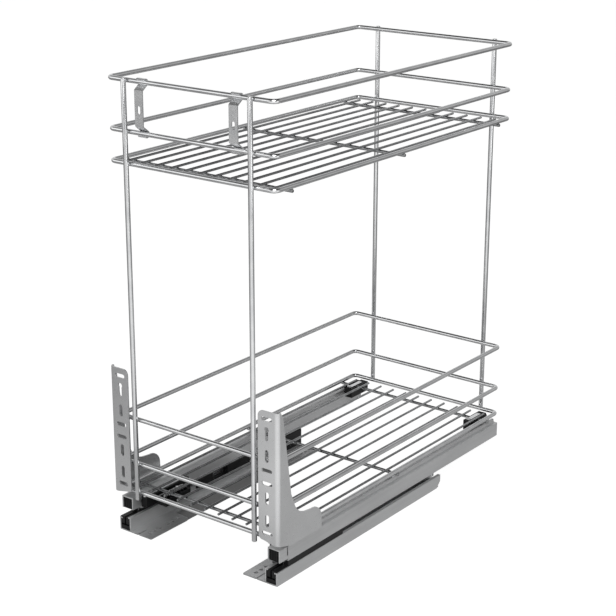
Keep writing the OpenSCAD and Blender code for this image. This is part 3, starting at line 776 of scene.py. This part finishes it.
# Ribs across the open bays of a catch housing, and two bright strips with a pin each on top of them
catchLook = {
    "armDrop": 0.0050,  # from the top of the housing down to the rim of its bays
    "ribs": 7,
    "first": 0.0205,
    "pitch": 0.0062,
    "rib": (0.0134, 0.0014, 0.0028),
    "ribInset": 0.0016,
    "ribSunk": 0.0005,
    "ribEdge": 0.0003,
    "edgeSteps": 2,
    "strip": (0.0015, 0.0420, 0.0009),
    "stripPlaces": (0.0045, 0.0116),
    "stripSunk": 0.0001,
    "stripEdge": 0.0002,
    "pinPlaces": (-0.011, 0.011),
    "pinSides": 20,
    "pinRadius": 0.0019,
    "pinHeight": 0.0012,
    "pinRise": 0.0005,
    "pinEdge": 0.0004,
    "pinEdgeSteps": 3,
}


def easedBlock(name, middle, size, edge):
    deselectAll()
    bpy.ops.mesh.primitive_cube_add(size=1, location=middle, scale=size)
    block = settle(bpy.context.object, name)
    editAll()
    bpy.ops.mesh.bevel(offset=edge, segments=catchLook["edgeSteps"], affect="EDGES")
    bpy.ops.object.mode_set(mode="OBJECT")
    bpy.ops.object.shade_smooth_by_angle(angle=smoothAngle)
    return block


def makePin(middle):
    deselectAll()
    bpy.ops.mesh.primitive_cylinder_add(vertices=catchLook["pinSides"], radius=catchLook["pinRadius"],
                                        depth=catchLook["pinHeight"], location=middle)
    pin = settle(bpy.context.object, "pin")
    editWhere(pin, lambda face: len(face.vertices) > 4 and face.normal.z > 0.9)
    bpy.ops.mesh.bevel(offset=catchLook["pinEdge"], segments=catchLook["pinEdgeSteps"], affect="EDGES")
    bpy.ops.object.mode_set(mode="OBJECT")
    bpy.ops.object.shade_smooth_by_angle(angle=smoothAngle)
    return pin


def makeCatchDetail(side):
    low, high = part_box(side + "_catch_housing")
    outward = -1 if side == "left" else 1
    inner = min(abs(low.x), abs(high.x))
    rib = Vector(catchLook["rib"])
    ribTop = high.z - catchLook["armDrop"] - catchLook["ribSunk"] + rib.z
    ribX = outward * (inner + catchLook["ribInset"] + rib.x / 2)
    firstY = low.y + catchLook["first"]
    first = easedBlock("rib", Vector((ribX, firstY, ribTop - rib.z / 2)), rib, catchLook["ribEdge"])
    shifts = [catchLook["pitch"] * i for i in range(1, catchLook["ribs"])]
    ribs = [first] + [copyOf(first, "rib", (0, shift, 0)) for shift in shifts]
    finish(joinAll(ribs, side + "CatchRibs"), "basket", mouldedPlastic)
    stripY = firstY + shifts[-1] / 2
    stripZ = ribTop - catchLook["stripSunk"] + catchLook["strip"][2] / 2
    strips = []
    for place, pinPlace in zip(catchLook["stripPlaces"], catchLook["pinPlaces"]):
        at = Vector((outward * (inner + place), stripY, stripZ))
        strips.append(easedBlock("strip", at, catchLook["strip"], catchLook["stripEdge"]))
        strips.append(makePin(at + Vector((0, pinPlace, catchLook["pinRise"]))))
    finish(joinAll(strips, side + "CatchStrips"), "basket", brushedZinc)


for side in ("left", "right"):
    makeInsert(side)
    makeCatchDetail(side)


print("sheet parts, plastic parts and rivets")
# The CAD shape with its edges eased as pressing and moulding leave them: edge width, steps, finish, slot
easeLook = {
    "front_bracket": (0.00030, 3, coatedSheet, "bracket_sheet"),
    "top_clip": (0.00040, 3, brushedZinc, "bright_zinc"),
    "carriage_rail": (0.00050, 3, rolledSheet, "rail_sheet"),
    "cabinet_rail": (0.00025, 2, rolledSheet, "rail_sheet"),
    "end_cap": (0.00030, 2, rolledSheet, "rail_sheet"),
    "middle_rail": (0.00030, 2, brushedZinc, "bright_zinc"),
    "catch_spring": (0.00020, 2, brushedZinc, "bright_zinc"),
    "clip_spring": (0.00020, 2, brushedZinc, "bright_zinc"),
    "carriage_guide": (0.00030, 2, mouldedPlastic, "black_plastic"),
    "catch_housing": (0.00040, 3, mouldedPlastic, "black_plastic"),
    "rear_clip": (0.00040, 3, mouldedPlastic, "black_plastic"),
    "front_glide": (0.00030, 2, mouldedPlastic, "black_plastic"),
    "rear_glide": (0.00030, 2, mouldedPlastic, "black_plastic"),
    "front_guide": (0.00030, 2, mouldedPlastic, "black_plastic"),
    "side_guide": (0.00030, 2, mouldedPlastic, "black_plastic"),
    "rail_stop": (0.00030, 2, mouldedPlastic, "black_plastic"),
}
rivetLook = {
    "bracket_rivets": (0.00045, 4, brushedZinc, "bright_zinc"),
    "carriage_rivets": (0.00045, 4, brushedZinc, "bright_zinc"),
}
cleanLook = {
    "merge": 0.000002,
    "flat": math.radians(0.8),
    "faceWeight": 80,
}


def easeNode(nodeName, width, steps, material, slotName):
    piece = copyOf(nodes[nodeName], pieceNameOf(nodeName), (0, 0, 0))
    body = nodes[nodeName]["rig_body"]
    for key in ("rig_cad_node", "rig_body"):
        del piece[key]
    piece.parent = None
    pick(piece)
    editAll()
    bpy.ops.mesh.remove_doubles(threshold=cleanLook["merge"])
    bpy.ops.mesh.dissolve_limited(angle_limit=cleanLook["flat"])
    bpy.ops.object.mode_set(mode="OBJECT")
    ease = piece.modifiers.new("easedEdges", "BEVEL")
    ease.width = width
    ease.segments = steps
    ease.limit_method = "ANGLE"
    ease.angle_limit = smoothAngle
    bpy.ops.object.modifier_apply(modifier="easedEdges")
    bpy.ops.object.shade_smooth()
    weigh = piece.modifiers.new("flatFaces", "WEIGHTED_NORMAL")
    weigh.keep_sharp = False
    weigh.weight = cleanLook["faceWeight"]
    bpy.ops.object.modifier_apply(modifier="flatFaces")
    finish(piece, body, material, [nodeName])


for kind, look in easeLook.items():
    for nodeName in bothSides(kind):
        easeNode(nodeName, *look)
for nodeName, look in rivetLook.items():
    easeNode(nodeName, *look)
